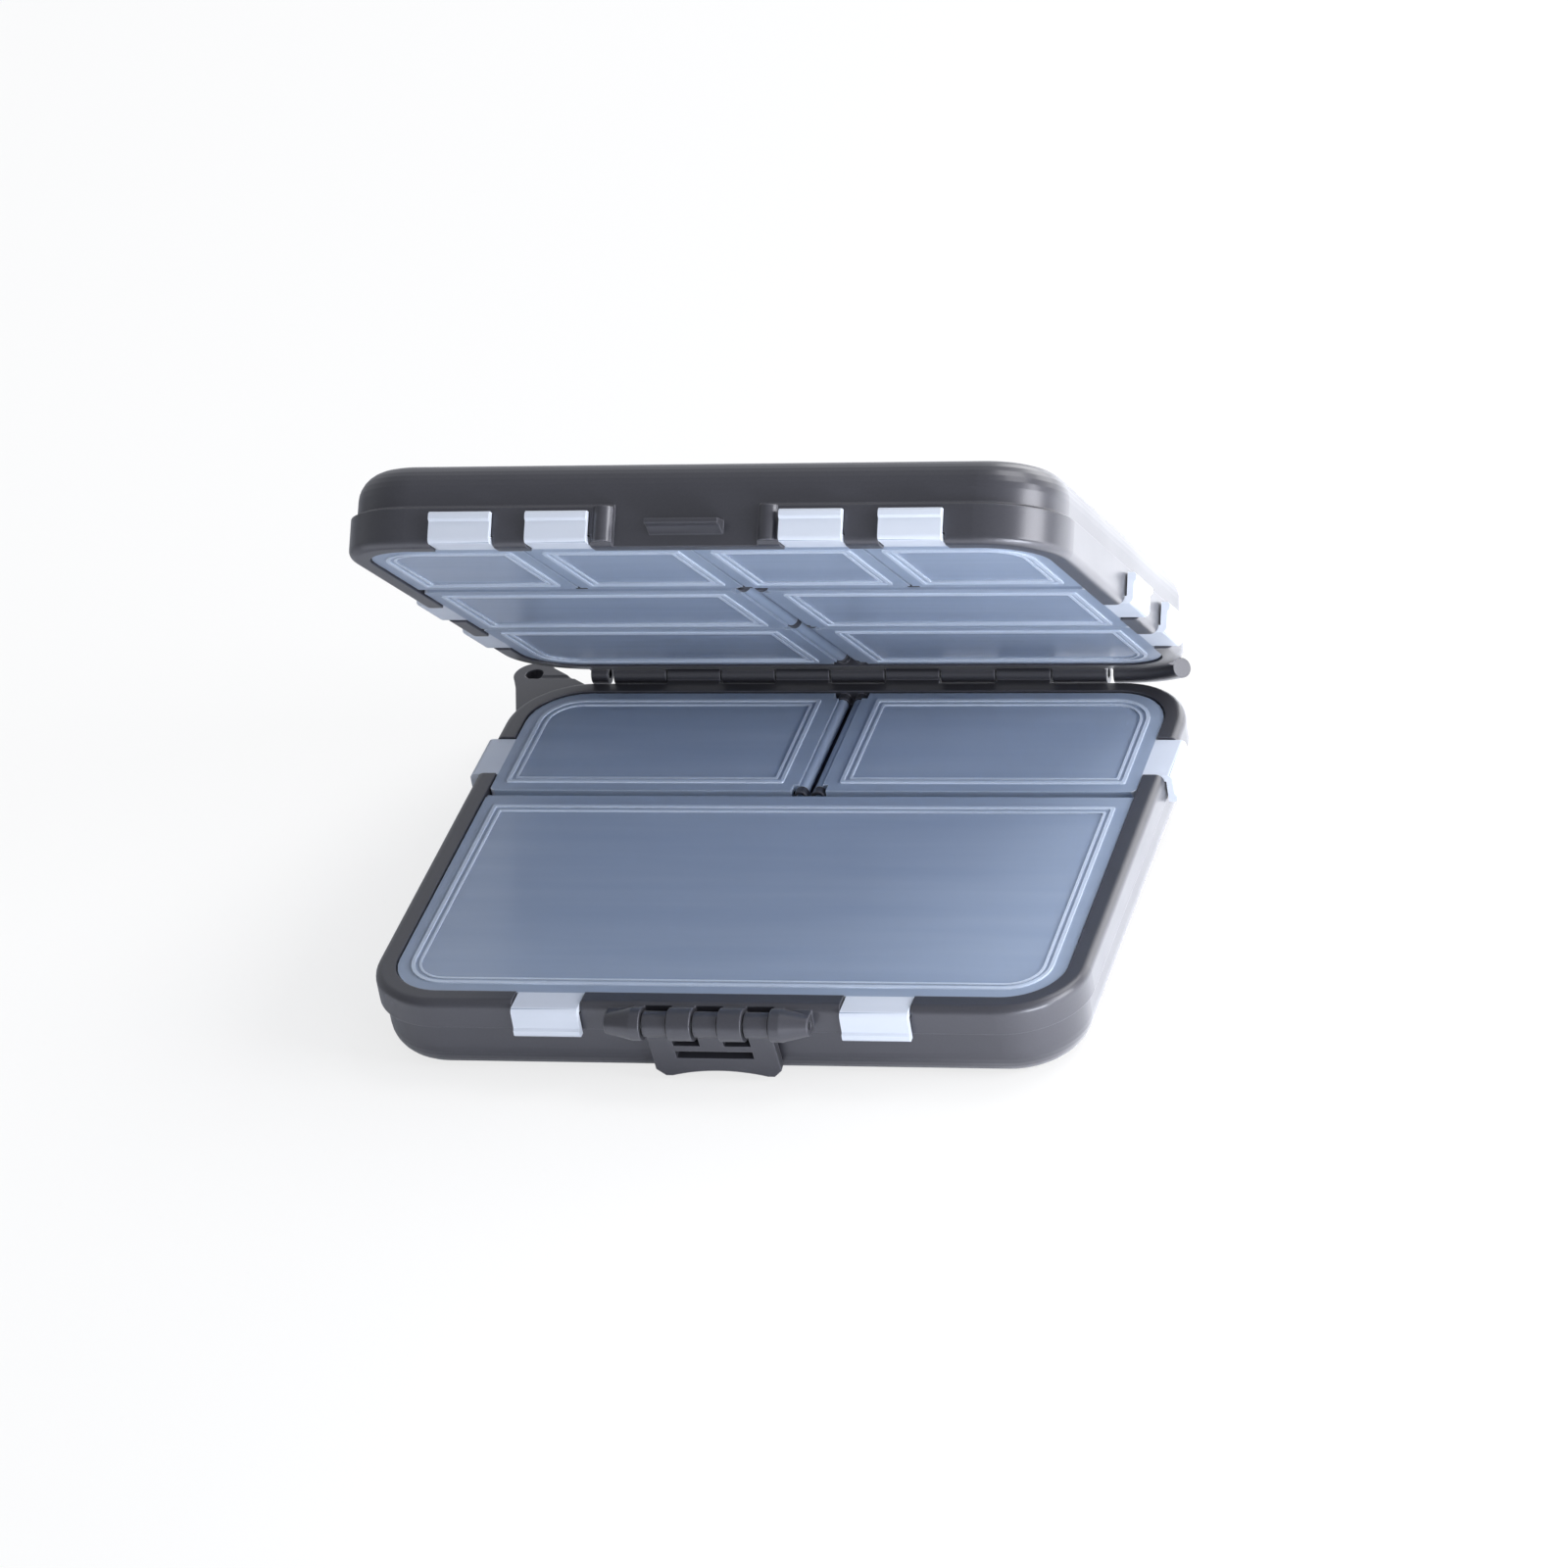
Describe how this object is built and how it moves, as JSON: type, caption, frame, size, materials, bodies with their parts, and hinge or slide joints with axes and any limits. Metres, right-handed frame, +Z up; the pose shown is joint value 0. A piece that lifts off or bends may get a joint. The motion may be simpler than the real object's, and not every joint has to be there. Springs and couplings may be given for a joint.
{
  "type": "fishing tackle box",
  "caption": "Pocket tackle box: two hinged trays of small compartments, each under its own snap lid, with a front latch and a lanyard lug.",
  "frame": {"origin": "centre of the bottom face, on the surface the box stands on", "axes": "+Z up, -Y the front with the latch, +X the right-hand side; the cover is stored part open, as it stands in use"},
  "size_m": [0.1247, 0.1121, 0.0914],
  "materials": {
    "case_plastic": "fine satin moulded polypropylene, charcoal",
    "latch_plastic": "satin moulded polypropylene, charcoal",
    "lid_plastic": "frosted translucent polypropylene",
    "divider_plastic": "frosted translucent polypropylene",
    "pin_steel": "drawn steel wire"
  },
  "bodies": {
    "lower": {"lower_shell": "case_plastic", "hinge_pin": "pin_steel", "latch_pin": "pin_steel", "long_divider": "divider_plastic", "short_divider_1": "divider_plastic", "short_divider_2": "divider_plastic", "short_divider_3": "divider_plastic", "short_divider_4": "divider_plastic"},
    "cover": {"upper_shell": "case_plastic"},
    "latch": {"latch": "latch_plastic"},
    "big_lid": {"big_lid": "lid_plastic"},
    "lower_rear_lid_left": {"lower_rear_lid_left": "lid_plastic"},
    "lower_rear_lid_right": {"lower_rear_lid_right": "lid_plastic"},
    "upper_front_lid_1": {"upper_front_lid_1": "lid_plastic"},
    "upper_front_lid_2": {"upper_front_lid_2": "lid_plastic"},
    "upper_front_lid_3": {"upper_front_lid_3": "lid_plastic"},
    "upper_front_lid_4": {"upper_front_lid_4": "lid_plastic"},
    "upper_middle_lid_left": {"upper_middle_lid_left": "lid_plastic"},
    "upper_rear_lid_left": {"upper_rear_lid_left": "lid_plastic"},
    "upper_middle_lid_right": {"upper_middle_lid_right": "lid_plastic"},
    "upper_rear_lid_right": {"upper_rear_lid_right": "lid_plastic"}
  },
  "joints": [
    {"name": "cover_hinge", "type": "hinge", "parent": "lower", "child": "cover", "pos_m": [0, 0.052, 0.0145], "axis": [-1, 0, 0], "range_deg": [-42.5, 137.5]},
    {"name": "latch_hinge", "type": "hinge", "parent": "lower", "child": "latch", "pos_m": [0, -0.0519, 0.012], "axis": [1, 0, 0], "range_deg": [-168, 0]},
    {"name": "big_lid_hinge", "type": "hinge", "parent": "lower", "child": "big_lid", "pos_m": [0, 0.01335, 0.01265], "axis": [-1, 0, 0], "range_deg": [0, 60]},
    {"name": "lower_rear_lid_left_hinge", "type": "hinge", "parent": "lower", "child": "lower_rear_lid_left", "pos_m": [-0.00155, 0.03062, 0.01265], "axis": [0, 1, 0], "range_deg": [0, 5]},
    {"name": "lower_rear_lid_right_hinge", "type": "hinge", "parent": "lower", "child": "lower_rear_lid_right", "pos_m": [0.00155, 0.03062, 0.01265], "axis": [0, -1, 0], "range_deg": [0, 5]},
    {"name": "upper_front_lid_1_hinge", "type": "hinge", "parent": "cover", "child": "upper_front_lid_1", "pos_m": [-0.04219, 0.00363, 0.06133], "axis": [1, 0, 0], "range_deg": [0, 90]},
    {"name": "upper_front_lid_2_hinge", "type": "hinge", "parent": "cover", "child": "upper_front_lid_2", "pos_m": [-0.01406, 0.00363, 0.06133], "axis": [1, 0, 0], "range_deg": [0, 90]},
    {"name": "upper_front_lid_3_hinge", "type": "hinge", "parent": "cover", "child": "upper_front_lid_3", "pos_m": [0.01406, 0.00363, 0.06133], "axis": [1, 0, 0], "range_deg": [0, 90]},
    {"name": "upper_front_lid_4_hinge", "type": "hinge", "parent": "cover", "child": "upper_front_lid_4", "pos_m": [0.04219, 0.00363, 0.06133], "axis": [1, 0, 0], "range_deg": [0, 90]},
    {"name": "upper_middle_lid_left_hinge", "type": "hinge", "parent": "cover", "child": "upper_middle_lid_left", "pos_m": [-0.00155, 0.01578, 0.0502], "axis": [0, -0.7373, 0.6756], "range_deg": [0, 32]},
    {"name": "upper_rear_lid_left_hinge", "type": "hinge", "parent": "cover", "child": "upper_rear_lid_left", "pos_m": [-0.00155, 0.03804, 0.0298], "axis": [0, -0.7373, 0.6756], "range_deg": [0, 5]},
    {"name": "upper_middle_lid_right_hinge", "type": "hinge", "parent": "cover", "child": "upper_middle_lid_right", "pos_m": [0.00155, 0.01578, 0.0502], "axis": [0, 0.7373, -0.6756], "range_deg": [0, 32]},
    {"name": "upper_rear_lid_right_hinge", "type": "hinge", "parent": "cover", "child": "upper_rear_lid_right", "pos_m": [0.00155, 0.03804, 0.0298], "axis": [0, 0.7373, -0.6756], "range_deg": [0, 5]}
  ]
}
